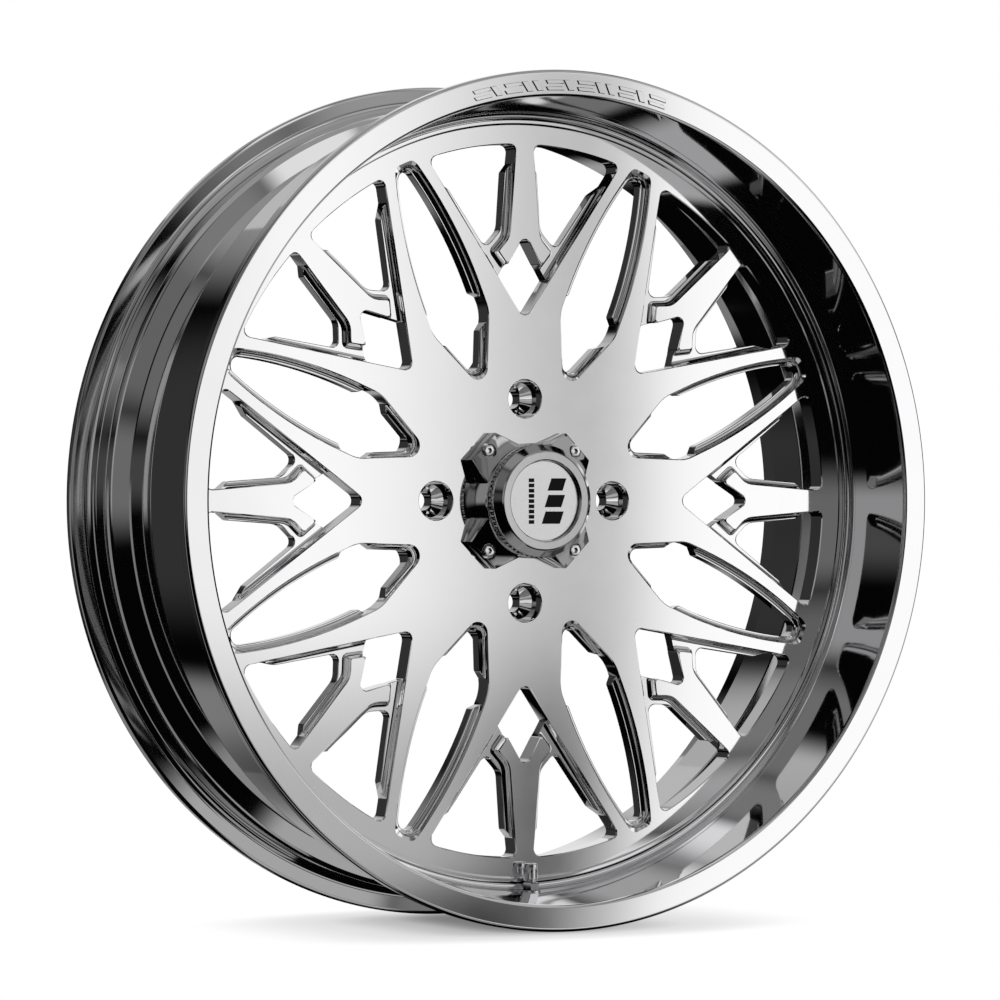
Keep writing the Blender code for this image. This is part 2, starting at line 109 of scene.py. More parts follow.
# Barrel, in millimetres
HALF_WIDTH = 102.2
RIM_RADIUS = 324.5
BEAD_RADIUS = 307.2
LIP_RECESS = 1.0  # the lip's face lies this far behind its raised marks
MARK_ROOT = 0.3  # the marks start this far inside the lip
MARK_CHAMFER = 0.4
MARK_SPANS = 6
WIDE_MARK = 2.6  # degrees
NARROW_MARK = 0.9  # degrees
MARK_GAP = 0.75  # degrees
MARK_INNER = 308.6
MARK_OUTER = 316.6
MARK_SPLIT = (311.6, 313.6)  # a wide mark is left open between these radii
WIDE_SLANT = 0.3  # degrees
NARROW_SLANT = 0.8  # degrees

# Cap and valve, in millimetres
CAP_LOW = FACE + 0.3
CAP_HOLLOW = 35.0
CAP_STEPS = 144
CAP_SCREWS = 4
LOBE_BEVEL = 0.9
LOBE_ENDS = ((39.5, 21.0, 16.0), (58.8, 14.8, 9.2))  # radius, half width, height on the face
KNURL_TEETH = 66
BAR_HEIGHT = 0.12
VALVE_STEPS = 48
VALVE_FORWARD = 41.2  # the valve's axis lies this far towards the face

# Camera
LENS = 181.9
SENSOR = 36.0
CAMERA_SPOT = (-1.9492, -3.3665, 0.0006)
CAMERA_TURN = -30.026  # degrees


# Meshes

def to_world(points):
    """Wheel-frame millimetres as world metres."""
    points = np.asarray(points, dtype=float)
    return np.column_stack([points[:, 0], -points[:, 2], points[:, 1]]) * MM


def valve_to_world(points):
    """Valve-frame millimetres as world metres: local Z runs up from the tyre side."""
    points = np.asarray(points, dtype=float)
    return np.column_stack([points[:, 0], points[:, 1] - VALVE_FORWARD, points[:, 2]]) * MM


def make_object(name, points, faces, look, smooth=True, angle=SHARP_ANGLE, place=to_world):
    mesh = bpy.data.meshes.new(name)
    mesh.from_pydata(place(points).tolist(), [], faces)
    mesh.update()
    shape = bmesh.new()
    shape.from_mesh(mesh)
    bmesh.ops.remove_doubles(shape, verts=shape.verts, dist=MERGE_DISTANCE)
    shape.to_mesh(mesh)
    shape.free()
    if smooth:
        mesh.shade_smooth()
        mesh.set_sharp_from_angle(angle=math.radians(angle))
    mesh.materials.append(look)
    made = bpy.data.objects.new(name, mesh)
    bpy.context.scene.collection.objects.link(made)
    return made


def keep_flat(item):
    """Shades the faces square to the wheel's axis flat, so rounded edges don't tilt them."""
    for face in item.data.polygons:
        if abs(face.normal.y) > FLAT:
            face.use_smooth = False


def polar(radius, angle, centre=(0.0, 0.0)):
    return (centre[0] + radius * math.cos(angle), centre[1] + radius * math.sin(angle))


def arc(centre_x, centre_y, radius, start, end, count):
    """count + 1 points between two angles in degrees."""
    angles = np.radians(np.linspace(start, end, count + 1))
    return [polar(radius, angle, (centre_x, centre_y)) for angle in angles]


def braced(profile):
    """A closed profile with a point added near each end of a long straight run, so that its
    smooth shading stays true."""
    run = []
    for index, (radius, height) in enumerate(profile):
        run.append((radius, height))
        other_radius, other_height = profile[(index + 1) % len(profile)]
        length = math.hypot(other_radius - radius, other_height - height)
        if length > LONG_RUN:
            for share in (BRACE / length, 1.0 - BRACE / length):
                between_radius = radius + (other_radius - radius) * share
                between_height = height + (other_height - height) * share
                run.append((between_radius, between_height))
    return run


def turned_faces(profile, steps, closed=True):
    """The faces between the steps of a turned profile, whose points come step by step."""
    faces = []
    count = len(profile)
    spans = count if closed else count - 1
    for step in range(steps):
        here = step * count
        there = (step + 1) % steps * count
        for index in range(spans):
            other = (index + 1) % count
            starts_on_axis = profile[index][0] < ON_AXIS
            ends_on_axis = profile[other][0] < ON_AXIS
            if starts_on_axis and ends_on_axis:
                continue
            face = [here + index, there + index, there + other, here + other]
            if starts_on_axis:
                face = [face[0], face[2], face[3]]
            elif ends_on_axis:
                face = [face[0], face[1], face[2]]
            faces.append(face)
    return faces


def turned_shape(profile, steps, spot=(0.0, 0.0), closed=True):
    """Points and faces of (radius, height) pairs turned about Z. The faces point out of the
    solid where the profile keeps it on the left, and into it where it is on the right."""
    points = []
    for step in range(steps):
        angle = math.tau * step / steps
        for radius, height in profile:
            points.append((*polar(radius, angle, spot), height))
    return points, turned_faces(profile, steps, closed)


def turned(name, profile, look, steps=RING_COUNT, place=to_world, angle=SHARP_ANGLE):
    return make_object(name, *turned_shape(profile, steps), look, angle=angle, place=place)


def prism_shape(outline, low, high, chamfer=0.0):
    """A closed outline of (x, y) points extruded in Z, with an optional chamfer on top."""
    count = len(outline)
    points = [(x, y, low) for x, y in outline]
    points += [(x, y, high - chamfer) for x, y in outline]
    faces = [list(reversed(range(count)))]
    levels = 2
    if chamfer > 0.0:
        corners = [(x, y, 0.0) for x, y in outline]
        points += [(x, y, high) for x, y, _ in moved_corners(corners, chamfer)]
        levels = 3
    for level in range(levels - 1):
        base = level * count
        for index in range(count):
            after = (index + 1) % count
            faces.append([base + index, base + after, base + count + after, base + count + index])
    faces.append([(levels - 1) * count + index for index in range(count)])
    return points, faces


def joined(shapes):
    """Several (points, faces) shapes as one."""
    points = []
    faces = []
    for some_points, some_faces in shapes:
        base = len(points)
        points += list(some_points)
        faces += [[base + index for index in face] for face in some_faces]
    return points, faces


# Window outlines: x across the spoke, y along the radius, with each corner's radius

ALMOND_HALF = 26.0
ALMOND_SIDE = 352.0
ALMOND_WIDEST = 165.0
ALMOND_TIP_TURN = math.radians(16.49)
ALMOND_TIP = 303.8
ALMOND_FOOT = 89.2
ALMOND_SLOPE = 15.0 / 33.0
ARM_FOOT = 137.94
ARM_SLOPE = 0.705
CROWN_RADIUS = 272.5
LEDGE = 5.0
RUN_OUT = 2.6  # radius where a ledge ends in a full-depth edge
STRUT_EDGE = (13.6, 201.0)
STRUT_SLOPE = 5.8 / 71.4
STRAIGHT = 1e-6  # radians, a corner that turns less than this is no corner


def corner_turns(corners):
    """Each corner with its heading on the way in and on the way out, and the turn between."""
    for index, (x, y, radius) in enumerate(corners):
        before_x, before_y, _ = corners[index - 1]
        after_x, after_y, _ = corners[(index + 1) % len(corners)]
        angle_in = math.atan2(y - before_y, x - before_x)
        angle_out = math.atan2(after_y - y, after_x - x)
        turn = math.remainder(angle_out - angle_in, math.tau)
        yield x, y, radius, angle_in, angle_out, turn


def degrees_per_point(radius):
    """Coarse steps round small corners and fine steps along long curves."""
    if radius < 20.0:
        return 15.0
    if radius > 100.0:
        return 1.5
    return 4.0


def rounded(corners):
    """The outline through (x, y, radius) corners, with each corner made an arc."""
    outline = []
    for x, y, radius, angle_in, _, turn in corner_turns(corners):
        if abs(turn) < STRAIGHT or radius <= 0.0:
            outline.append((x, y))
            continue
        reach = radius * math.tan(abs(turn) / 2)
        side = math.copysign(1.0, turn)
        start_x = x - reach * math.cos(angle_in)
        start_y = y - reach * math.sin(angle_in)
        centre_x = start_x - side * radius * math.sin(angle_in)
        centre_y = start_y + side * radius * math.cos(angle_in)
        count = max(1, math.ceil(abs(math.degrees(turn)) / degrees_per_point(radius)))
        first = math.degrees(angle_in) - side * 90.0
        outline += arc(centre_x, centre_y, radius, first, first + math.degrees(turn), count)
    return outline


def moved_corners(corners, inset):
    """The corners of a counter-clockwise outline moved inwards, with radii to match."""
    moved = []
    for x, y, radius, angle_in, angle_out, turn in corner_turns(corners):
        normal_x = -math.sin(angle_in) - math.sin(angle_out)
        normal_y = math.cos(angle_in) + math.cos(angle_out)
        scale = inset / (1.0 + math.cos(turn))
        smaller = max(radius - math.copysign(inset, turn), 0.0) if radius > 0.0 else 0.0
        moved.append((x + normal_x * scale, y + normal_y * scale, smaller))
    return moved


def mirrored(half):
    """Corners whose first and last lie on the mirror line, with their mirror images."""
    return half + [(-x, y, radius) for x, y, radius in reversed(half[1:-1])]


def turned_by(points, degrees):
    cosine = math.cos(math.radians(degrees))
    sine = math.sin(math.radians(degrees))
    return [(x * cosine - y * sine, x * sine + y * cosine) for x, y in points]


def side_x(y, foot, slope, inset):
    """Where a pocket's slanted side, moved inwards, crosses a height."""
    return slope * (y - foot) - inset / math.cos(math.atan(slope))


def side_corner(inset):
    radius = ALMOND_SIDE - inset
    return (ALMOND_HALF - inset, ALMOND_WIDEST + radius * math.tan(ALMOND_TIP_TURN / 2), radius)


def tip_corner(inset):
    return (0.0, ALMOND_TIP - inset / math.sin(ALMOND_TIP_TURN), 12.0 - inset)


def crown(start, end):
    """The corner whose rounding is the pocket's outer arc between two angles off +Y."""
    middle = math.radians((start + end) / 2)
    reach = CROWN_RADIUS / math.cos(math.radians((end - start) / 2))
    return (reach * math.sin(middle), reach * math.cos(middle), CROWN_RADIUS)


def almond_pocket():
    waist_y = ALMOND_FOOT + ALMOND_HALF / ALMOND_SLOPE
    corners = [(0.0, ALMOND_FOOT, 9.7), (ALMOND_HALF, waist_y, 30.0), side_corner(0.0), tip_corner(0.0)]
    return mirrored(corners)


def strut_pocket():
    return mirrored([
        (0.0, ARM_FOOT, 6.5), (85.4, 259.1, 6.0), crown(3.0, 15.6), (7.8, 272.4, 5.5),
        (*STRUT_EDGE, 16.0), (23.5, 190.5, 1.0), (14.8, 179.6, 1.5), (0.0, 204.4, 5.0),
    ])


def almond_through():
    outer = moved_corners(almond_pocket(), -OVERSHOOT)
    slant = math.sin(math.atan(ALMOND_SLOPE))
    return mirrored([
        (0.0, ALMOND_FOOT + 4.0 / slant, 5.7),
        (side_x(133.5, ALMOND_FOOT, ALMOND_SLOPE, 4.0), 133.5, RUN_OUT),
        (side_x(138.5, ALMOND_FOOT, ALMOND_SLOPE, -OVERSHOOT), 138.5, RUN_OUT), outer[1],
        (ALMOND_HALF + OVERSHOOT, 157.0, RUN_OUT), (ALMOND_HALF - LEDGE, 162.5, RUN_OUT),
        side_corner(LEDGE), tip_corner(LEDGE),
    ])


def triangle_through():
    outer = moved_corners(strut_pocket(), -OVERSHOOT)
    top = 258.5
    side = STRUT_EDGE[0] - (top - STRUT_EDGE[1]) * STRUT_SLOPE - OVERSHOOT
    return [
        outer[3], (side, top, RUN_OUT), (14.4, 251.0, RUN_OUT), (17.5, 207.0, 12.0),
        (31.0, 192.5, 6.0), (side_x(236.0, ARM_FOOT, ARM_SLOPE, LEDGE), 236.0, RUN_OUT),
        (side_x(244.0, ARM_FOOT, ARM_SLOPE, -OVERSHOOT), 244.0, RUN_OUT), outer[1], outer[2],
    ]


def diamond_through():
    outer = moved_corners(strut_pocket(), -OVERSHOOT)
    return mirrored([outer[0], (21.9, 168.5, 2.0), (0.0, 205.4, 5.2)])


# Cutting a flat region into faces, with heights by region

def segments_of(outline):
    points = np.array(outline)
    return points, np.roll(points, -1, axis=0)


def inside(points, outline):
    """Even-odd test of many points against one closed outline."""
    starts, ends = segments_of(outline)
    x = points[:, :1]
    y = points[:, 1:2]
    crosses = (starts[None, :, 1] > y) != (ends[None, :, 1] > y)
    rise = ends[:, 1] - starts[:, 1]
    rise[rise == 0.0] = 1e-12
    at_x = starts[:, 0] + (y - starts[:, 1]) * (ends[:, 0] - starts[:, 0]) / rise
    return (crosses & (x < at_x)).sum(axis=1) % 2 == 1


def distance(points, outlines):
    """Least distance from each point to any of the closed outlines."""
    least = np.full(len(points), 1e9)
    for outline in outlines:
        starts, ends = segments_of(outline)
        along = ends - starts
        length = np.maximum((along ** 2).sum(axis=1), 1e-18)
        offset = points[:, None, :] - starts[None, :, :]
        share = np.clip((offset * along).sum(axis=2) / length, 0.0, 1.0)
        gap = offset - share[:, :, None] * along
        least = np.minimum(least, np.sqrt((gap ** 2).sum(axis=2)).min(axis=1))
    return least


def snapped(values, levels):
    """Values within SNAP of a level moved onto it, so that flat areas stay flat."""
    result = values.copy()
    for level in levels:
        result[np.abs(values - level) < SNAP] = level
    return result


def wedge_points(outline, width):
    """The edges of an outline that pass near the wedge between 0 and width degrees off +Y."""
    points = np.array(outline)
    angle = np.degrees(np.arctan2(points[:, 0], points[:, 1]))
    near = (angle > -WEDGE_MARGIN) & (angle < width + WEDGE_MARGIN)
    coords = []
    edges = []
    count = len(points)
    for index in range(count):
        after = (index + 1) % count
        if near[index] or near[after]:
            edges.append((len(coords), len(coords) + 1))
            coords += [tuple(points[index]), tuple(points[after])]
    return coords, edges


def circle(radius):
    turn = [math.tau * k / RING_COUNT for k in range(RING_COUNT)]
    return [(radius * math.sin(a), radius * math.cos(a)) for a in turn]


def small_circle(spot, radius, count=48):
    return [polar(radius, math.tau * k / count, spot) for k in range(count)]


def cut_wedge(outlines, width, inner, outer):
    """Triangulates the wedge between two radii along every outline."""
    coords = []
    edges = []
    for outline in outlines:
        more, more_edges = wedge_points(outline, width)
        base = len(coords)
        coords += more
        edges += [(base + a, base + b) for a, b in more_edges]
    for angle in (0.0, width):
        turn = math.radians(angle)
        base = len(coords)
        coords.append((inner * math.sin(turn), inner * math.cos(turn)))
        coords.append((outer * math.sin(turn), outer * math.cos(turn)))
        edges.append((base, base + 1))
    verts, _, faces, _, _, _ = delaunay_2d_cdt(coords, edges, [], 0, CUT_TOLERANCE)
    points = np.array([(v[0], v[1]) for v in verts])
    triangles = np.array([list(face) for face in faces if len(face) == 3])
    corners = points[triangles]
    side_a = corners[:, 1] - corners[:, 0]
    side_b = corners[:, 2] - corners[:, 0]
    area = side_a[:, 0] * side_b[:, 1] - side_a[:, 1] * side_b[:, 0]
    triangles[area < 0] = triangles[area < 0][:, ::-1]
    middle = points[triangles].mean(axis=1)
    radius = np.hypot(middle[:, 0], middle[:, 1])
    angle = np.degrees(np.arctan2(middle[:, 0], middle[:, 1]))
    kept = (angle > 0.0) & (angle < width) & (radius > inner) & (radius < outer)
    kept &= np.abs(area) > SLIVER
    return points, triangles[kept], middle[kept]


def sheet(points, triangles, front, back, front_height, back_height):
    """A solid plate. front and back give each triangle's region, with 0 for a hole, and the
    two height functions take a region and points."""
    made_points = []
    made_faces = []
    index_of = {}

    def layer(regions, height, reverse, tag):
        for region in np.unique(regions):
            if region == 0:
                continue
            chosen = triangles[regions == region]
            used = np.unique(chosen)
            heights = height(region, points[used])
            for vertex, z in zip(used, heights):
                index_of[(tag, region, vertex)] = len(made_points)
                made_points.append((points[vertex, 0], points[vertex, 1], z))
            for triangle in chosen:
                face = [index_of[(tag, region, vertex)] for vertex in triangle]
                made_faces.append(face[::-1] if reverse else face)

    def wall(low, high, start, end):
        corners = ((*low, start), (*low, end), (*high, end), (*high, start))
        made_faces.append([index_of[corner] for corner in corners])

    edge_faces = {}
    for number, triangle in enumerate(triangles):
        for corner in range(3):
            edge_faces[(triangle[corner], triangle[(corner + 1) % 3])] = number
    holes = set()
    for (start, end), number in edge_faces.items():
        other = edge_faces.get((end, start))
        if other is not None and front[number] != 0 and front[other] == 0:
            holes.update((start, end))
    layer(front, front_height, False, "front")
    layer(back, back_height, True, "back")
    for vertex in holes:
        for region in np.unique(back):
            key = ("back", region, vertex)
            if region != 0 and key in index_of:
                x, y, z = made_points[index_of[key]]
                made_points[index_of[key]] = (x, y, z + BACK_CHAMFER)
    for (start, end), number in edge_faces.items():
        other = edge_faces.get((end, start))
        if other is None:
            continue
        here = front[number]
        there = front[other]
        if here != 0 and there == 0:
            wall(("back", back[number]), ("front", here), start, end)
        elif 0 < here < there:
            wall(("front", there), ("front", here), start, end)
        if 0 < back[number] < back[other]:
            wall(("back", back[number]), ("back", back[other]), start, end)
    return made_points, made_faces


def repeated(shape, width):
    """A wedge of the given width in degrees with its mirror image, all round the wheel."""
    points, faces = shape
    mirror = [(-x, y, z) for x, y, z in points]
    mirror_faces = [face[::-1] for face in faces]
    pair_points, pair_faces = joined([(points, faces), (mirror, mirror_faces)])
    flat = np.array(pair_points)
    shapes = []
    for unit in range(int(round(180.0 / width))):
        turn = math.radians(2.0 * width * unit)
        spun = flat.copy()
        spun[:, 0] = flat[:, 0] * math.cos(turn) - flat[:, 1] * math.sin(turn)
        spun[:, 1] = flat[:, 0] * math.sin(turn) + flat[:, 1] * math.cos(turn)
        shapes.append((spun.tolist(), pair_faces))
    return joined(shapes)


# The milled centre

# Regions of the front, then of the back. In both, 0 is a hole.
TOP = 1
POCKET = 2
LUG = 3
BLIND = 4
BACK = 1
PILOT_RECESS = 2


def spoke_back(points):
    radius = np.hypot(points[:, 0], points[:, 1])
    knots = [PAD_EDGE, SPOKE_START, SPOKE_END, EDGE_START]
    return np.interp(radius, knots, [0.0, SPOKE_BACK, SPOKE_BACK, EDGE_BACK])


def window_zone():
    pockets = []
    holes = []
    constraints = []
    for corners, turn in ((strut_pocket(), 0.0), (almond_pocket(), -WINDOW_WEDGE)):
        pockets.append(turned_by(rounded(corners), turn))
        for inset in (-TOP_CHAMFER, *COVE_RINGS):
            constraints.append(turned_by(rounded(moved_corners(corners, inset)), turn))
    through = ((triangle_through(), 0.0), (diamond_through(), 0.0), (almond_through(), -WINDOW_WEDGE))
    for corners, turn in through:
        holes.append(turned_by(rounded(corners), turn))
        constraints.append(holes[-1])
        constraints.append(turned_by(rounded(moved_corners(corners, -HOLE_CHAMFER)), turn))
    for radius in (HUB_EDGE, SPOKE_START, SPOKE_END, EDGE_START, DISC_EDGE):
        constraints.append(circle(radius))
    points, triangles, middle = cut_wedge(constraints, WINDOW_WEDGE, HUB_EDGE, DISC_EDGE)
    in_pocket = inside(middle, pockets[0]) | inside(middle, pockets[1])
    in_hole = inside(middle, holes[0]) | inside(middle, holes[1]) | inside(middle, holes[2])
    front = np.where(in_pocket, np.where(in_hole, 0, POCKET), TOP)
    back = np.where(in_pocket & in_hole, 0, BACK)

    def front_height(region, some):
        edge = distance(some, pockets)
        if region == TOP:
            return FACE - np.maximum(0.0, TOP_CHAMFER - snapped(edge, (0.0, TOP_CHAMFER)))
        edge = snapped(edge, COVE_RINGS)
        rise = np.clip(COVE - edge, 0.0, COVE)
        cove = COVE - np.sqrt(np.maximum(COVE ** 2 - rise ** 2, 0.0))
        to_hole = snapped(distance(some, holes), (0.0, HOLE_CHAMFER))
        deep = FACE - LEDGE_DROP - np.maximum(0.0, HOLE_CHAMFER - to_hole) * (edge > ON_WALL)
        return deep + cove

    shape = sheet(points, triangles, front, back, front_height, lambda _, some: spoke_back(some))
    return repeated(shape, WINDOW_WEDGE)


def hub_zone():
    lug = (0.0, LUG_CIRCLE)
    diagonal = math.radians(HUB_WEDGE)
    screw = (CAP_SCREW_CIRCLE * math.sin(diagonal), CAP_SCREW_CIRCLE * math.cos(diagonal))
    lug_rings = (LUG_EDGE, LUG_POCKET, LUG_SEAT, STUD_EDGE, STUD_HOLE)
    constraints = [small_circle(lug, radius) for radius in lug_rings]
    constraints += [small_circle(screw, radius, 24) for radius in (BLIND_EDGE, BLIND_HOLE)]
    constraints += [circle(radius) for radius in (BORE, PILOT, PAD_EDGE, HUB_EDGE)]
    points, triangles, middle = cut_wedge(constraints, HUB_WEDGE, HUB_START, HUB_EDGE)
    radius = np.hypot(middle[:, 0], middle[:, 1])
    to_lug = np.hypot(middle[:, 0] - lug[0], middle[:, 1] - lug[1])
    to_screw = np.hypot(middle[:, 0] - screw[0], middle[:, 1] - screw[1])
    front = np.full(len(middle), TOP)
    front[to_lug < LUG_POCKET - HAIR] = LUG
    front[to_screw < BLIND_HOLE - HAIR] = BLIND
    empty = (to_lug < STUD_HOLE - HAIR) | (radius < BORE - 2 * HAIR)
    front[empty] = 0
    back = np.where(radius < PILOT - 2 * HAIR, PILOT_RECESS, BACK)
    back[empty] = 0

    def front_height(region, some):
        lug_gap = np.hypot(some[:, 0] - lug[0], some[:, 1] - lug[1])
        screw_gap = np.hypot(some[:, 0] - screw[0], some[:, 1] - screw[1])
        if region == LUG:
            return np.interp(lug_gap, [STUD_HOLE, LUG_SEAT], [STUD_HOLE_TOP, LUG_SEAT_TOP])
        if region == BLIND:
            return np.full(len(some), BLIND_FLOOR)
        lug_drop = np.maximum(0.0, LUG_CHAMFER - np.maximum(lug_gap - LUG_POCKET, 0.0))
        screw_drop = np.maximum(0.0, BLIND_CHAMFER - np.maximum(screw_gap - BLIND_HOLE, 0.0))
        return FACE - lug_drop - screw_drop

    def back_height(region, some):
        if region == PILOT_RECESS:
            return np.full(len(some), PILOT_FLOOR)
        return spoke_back(some)

    return repeated(sheet(points, triangles, front, back, front_height, back_height), HUB_WEDGE)


def edge_ring():
    """The centre's outer edge, with the turned ridge beside the barrel."""
    profile = [
        (DISC_EDGE, EDGE_BACK), (291.4, EDGE_BACK), (292.0, 10.8), (292.0, 31.6), (290.9, 33.6),
        (290.5, 33.8), (288.5, 33.8), (288.0, 33.5), (287.4, 32.4), (DISC_EDGE, FACE),
    ]
    return turned_shape(profile, RING_COUNT, closed=False)


def make_wheel_centre(look):
    shape = joined([window_zone(), hub_zone(), edge_ring()])
    centre = make_object("milled_centre", *shape, look)
    keep_flat(centre)
    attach(centre, "rim")
    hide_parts("wheel_centre")


# The barrel

def barrel_profile():
    """The inside from back to front, then the outside from front to back. The solid is on the
    right, so the barrel's faces point into the metal."""
    front = HALF_WIDTH
    rear = -HALF_WIDTH
    lip = front - LIP_RECESS
    inside_run = [(309.5, rear), (301.8, rear + 5.4), (301.0, rear + 7.0), (299.0, -64.0)]
    inside_run += [(298.0, -62.6), (286.0, -57.0), (285.0, -55.4), (285.0, -16.6), (285.4, -15.2)]
    inside_run += [(292.3, -4.0), (292.3, 33.2), (292.6, 33.7), (293.4, 34.0)]
    inside_run += arc(293.4, 37.4, 3.4, -80.0, 0.0, 8)
    inside_run += [(303.9, 98.6), (304.6, 100.4), (305.9, lip - 0.1), (306.3, lip)]
    outside = [(321.6, lip)]
    outside += arc(RIM_RADIUS - 2.6, lip - 2.6, 2.6, 84.0, 0.0, 8)
    outside += [(RIM_RADIUS, front - 9.0), (RIM_RADIUS - 0.4, front - 9.9)]
    outside += [(RIM_RADIUS - 2.5, front - 11.5), (317.0, front - 12.6)]
    outside += arc(BEAD_RADIUS + 6.5, front - 19.5, 6.5, 90.0, 180.0, 10)[1:]
    outside += [(306.0, 73.0), (305.4, 71.4), (305.5, 70.0), (306.3, 67.4), (306.6, 65.6), (306.3, 64.0)]
    outside += [(305.0, 61.0), (304.5, 59.0)]
    outside += [(304.5, 5.6), (304.2, 3.8), (291.6, -14.0), (291.0, -16.0)]
    outside += [(291.0, -56.0), (291.8, -58.0), (303.6, -63.0), (305.2, -64.6), (306.4, -66.8)]
    outside += [(306.6, -68.0), (306.3, -70.0), (305.4, -71.6), (305.5, -72.4)]
    outside += arc(BEAD_RADIUS + 6.5, rear + 18.5, 6.5, 180.0, 270.0, 10)
    outside += [(RIM_RADIUS - 2.5, rear + 10.5), (RIM_RADIUS - 0.5, rear + 9.4), (RIM_RADIUS, rear + 8.5)]
    outside += arc(RIM_RADIUS - 5.0, rear + 5.0, 5.0, 0.0, -90.0, 10)
    profile = inside_run + outside
    return [point for index, point in enumerate(profile) if point != profile[index - 1]]


def lip_mark(start, end, inner, outer, slant):
    """One raised block on the lip, between two angles in degrees and two radii. Its outer side
    is turned by the slant."""
    outline = []
    for step in range(MARK_SPANS + 1):
        outline.append((inner, start + (end - start) * step / MARK_SPANS))
    for step in range(MARK_SPANS, -1, -1):
        outline.append((outer, start + slant + (end - start) * step / MARK_SPANS))
    flat = [polar(radius, math.radians(angle)) for radius, angle in outline]
    flat.reverse()
    return prism_shape(flat, HALF_WIDTH - LIP_RECESS - MARK_ROOT, HALF_WIDTH, MARK_CHAMFER)


def lip_marks():
    """A generic row of slanted dashes and double bars, centred on the top of the lip."""
    shapes = []
    group = (WIDE_MARK, NARROW_MARK, WIDE_MARK, NARROW_MARK, NARROW_MARK)
    widths = group + group + group[:3]
    total = sum(widths) + MARK_GAP * (len(widths) - 1)
    angle = 90.0 + total / 2
    for width in widths:
        if width == WIDE_MARK:
            shapes.append(lip_mark(angle - width, angle, MARK_INNER, MARK_SPLIT[0], WIDE_SLANT))
            shapes.append(lip_mark(angle - width, angle, MARK_SPLIT[1], MARK_OUTER, WIDE_SLANT))
        else:
            shapes.append(lip_mark(angle - width, angle, MARK_INNER, MARK_OUTER, NARROW_SLANT))
        angle -= width + MARK_GAP
    return shapes


def make_barrel(look):
    barrel = turned("spun_barrel", braced(barrel_profile()), look)
    keep_flat(barrel)
    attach(barrel, "rim")
    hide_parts("rim_barrel")
    marks = make_object("lip_marks", *joined(lip_marks()), look)
    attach(marks, "rim")


def make_weld(look):
    """A fillet weld with the ripples of a hand-laid bead."""
    points = []
    faces = []
    steps = 960
    count = 7
    steps_per_ripple = 4.0
    lean = 0.55  # the bead swells as much inwards as backwards
    for step in range(steps):
        angle = math.tau * step / steps
        ripple = 0.175 * math.sin(step * math.tau / steps_per_ripple)
        for index in range(count):
            share = index / (count - 1)
            swell = 1.3 * math.sin(math.pi * share) + ripple * math.sin(math.pi * share)
            radius = 292.0 - 7.6 * share - lean * swell
            height = 2.9 + 6.6 * share - lean * swell
            points.append((*polar(radius, angle), height))
        points.append((*polar(291.9, angle), 9.6))
    ring = count + 1
    for step in range(steps):
        after = (step + 1) % steps
        for index in range(ring):
            other = (index + 1) % ring
            face = [step * ring + index, step * ring + other, after * ring + other, after * ring + index]
            faces.append(face)
    weld = make_object("weld_bead", points, faces, look, angle=60.0)
    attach(weld, "rim")
    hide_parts("centre_weld")


# The centre cap

def booleaned(item, tool, operation):
    modifier = item.modifiers.new(operation.lower(), "BOOLEAN")
    modifier.operation = operation
    modifier.object = tool
    modifier.solver = "EXACT"


def applied(item, tools):
    """Bakes an object's modifiers, and removes its tools."""
    graph = bpy.context.evaluated_depsgraph_get()
    mesh = bpy.data.meshes.new_from_object(item.evaluated_get(graph))
    item.modifiers.clear()
    item.data = mesh
    for tool in tools:
        bpy.data.objects.remove(tool, do_unlink=True)
    mesh.shade_smooth()
    mesh.set_sharp_from_angle(angle=math.radians(SHARP_ANGLE))


def lobe_shape(turn):
    """A lug of the cap: wide at the body, narrower outside, sloping down outwards."""
    points = []
    for x, half, top in LOBE_ENDS:
        high = FACE + top
        points += [(x, -half, CAP_LOW), (x, half, CAP_LOW), (x, half, high), (x, -half, high)]
    cosine = math.cos(turn)
    sine = math.sin(turn)
    points = [(x * cosine - y * sine, x * sine + y * cosine, z) for x, y, z in points]
    faces = [[0, 3, 2, 1], [4, 5, 6, 7], [0, 1, 5, 4], [1, 2, 6, 5], [2, 3, 7, 6], [3, 0, 4, 7]]
    return points, faces


def cap_turns():
    return [math.radians(45.0 + 90.0 * index) for index in range(CAP_SCREWS)]


def cap_spots():
    return [polar(CAP_SCREW_CIRCLE, turn) for turn in cap_turns()]


def make_cap_body(look):
    shoulder = FACE + 18.7
    top = FACE + 23.7
    profile = [
        (CAP_HOLLOW, CAP_LOW), (44.0, CAP_LOW), (44.0, shoulder - 1.0), (43.7, shoulder - 0.3),
        (43.0, shoulder), (38.0, shoulder), (38.0, top), (CAP_HOLLOW, top),
    ]
    body = turned("cap_casting", profile, look, CAP_STEPS)
    tools = []
    for index, turn in enumerate(cap_turns()):
        lobe = make_object(f"lobe_{index}", *lobe_shape(turn), look, smooth=False)
        bevel = lobe.modifiers.new("bevel", "BEVEL")
        bevel.width = LOBE_BEVEL * MM
        bevel.segments = 2
        tools.append(lobe)
        booleaned(body, lobe, "UNION")
    core = [(0.0, 20.0), (CAP_HOLLOW, 20.0), (CAP_HOLLOW, 80.0), (0.0, 80.0)]
    hollow = turned("hollow", core, look, CAP_STEPS)
    tools.append(hollow)
    booleaned(body, hollow, "DIFFERENCE")
    floor = FACE + 7.0
    clear = FACE + 20.0
    for index, spot in enumerate(cap_spots()):
        hole = [(0.0, 30.0), (3.3, 30.0), (3.3, floor), (5.7, floor), (5.7, clear), (0.0, clear)]
        drill = make_object(f"drill_{index}", *turned_shape(hole, 32, spot), look)
        tools.append(drill)
        booleaned(body, drill, "DIFFERENCE")
    applied(body, tools)
    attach(body, "centre_cap")
    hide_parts("cap_body")


